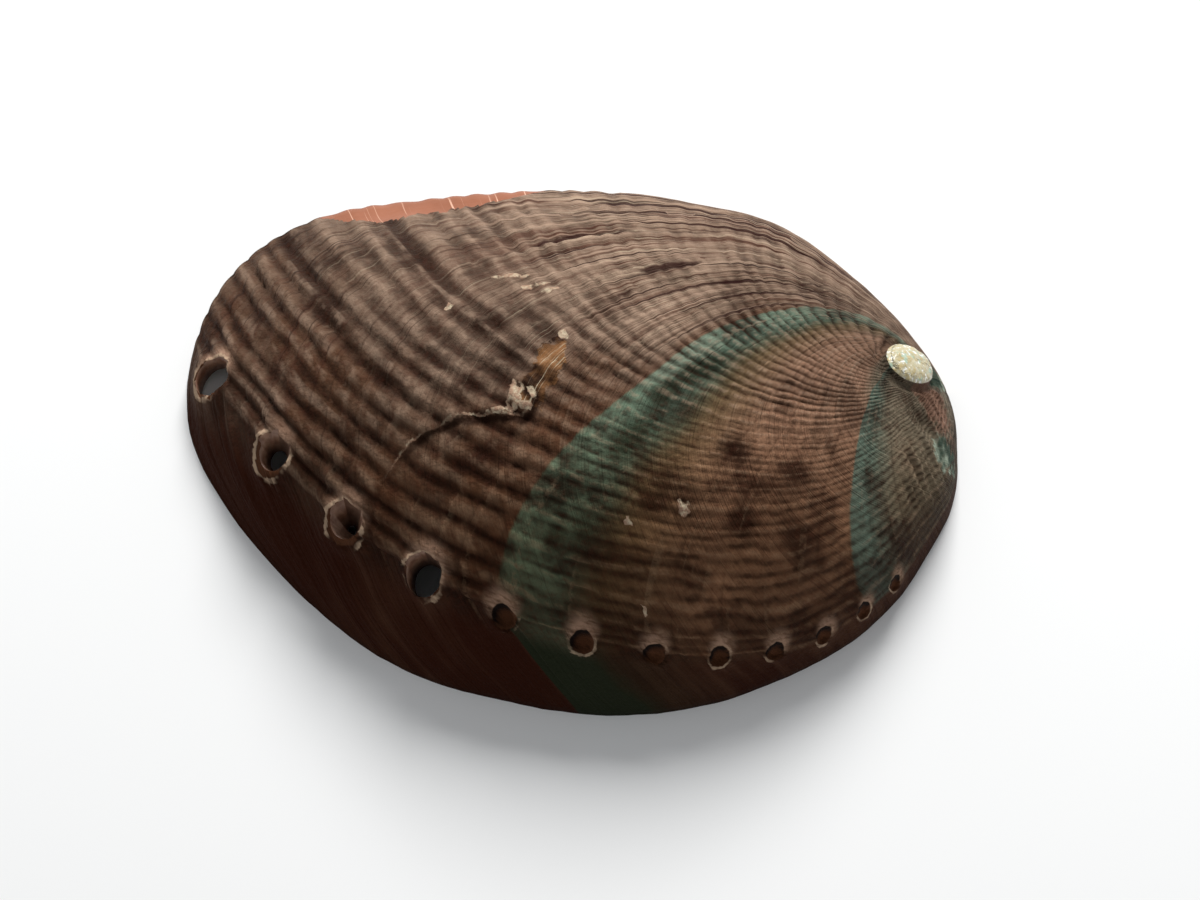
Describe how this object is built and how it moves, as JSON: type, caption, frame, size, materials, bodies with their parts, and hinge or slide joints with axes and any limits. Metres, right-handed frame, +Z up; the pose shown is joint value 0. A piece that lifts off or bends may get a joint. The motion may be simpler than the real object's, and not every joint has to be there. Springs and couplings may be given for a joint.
{
  "type": "abalone shell",
  "caption": "Empty abalone shell lying on its rim, back up: a low ribbed dome with a row of breathing holes and an open hollow below.",
  "frame": {"origin": "under the middle of the shell's bounding box, on the surface that its rim rests on", "axes": "+X towards the spire, -X towards the front of the growing lip, -Y towards the row of holes, +Z up from the rim to the back"},
  "size_m": [0.1254, 0.0923, 0.0347],
  "materials": {
    "shell": "matt brown and green crust outside, glossy mother-of-pearl inside"
  },
  "bodies": {
    "root": {"shell": "shell"}
  },
  "joints": []
}
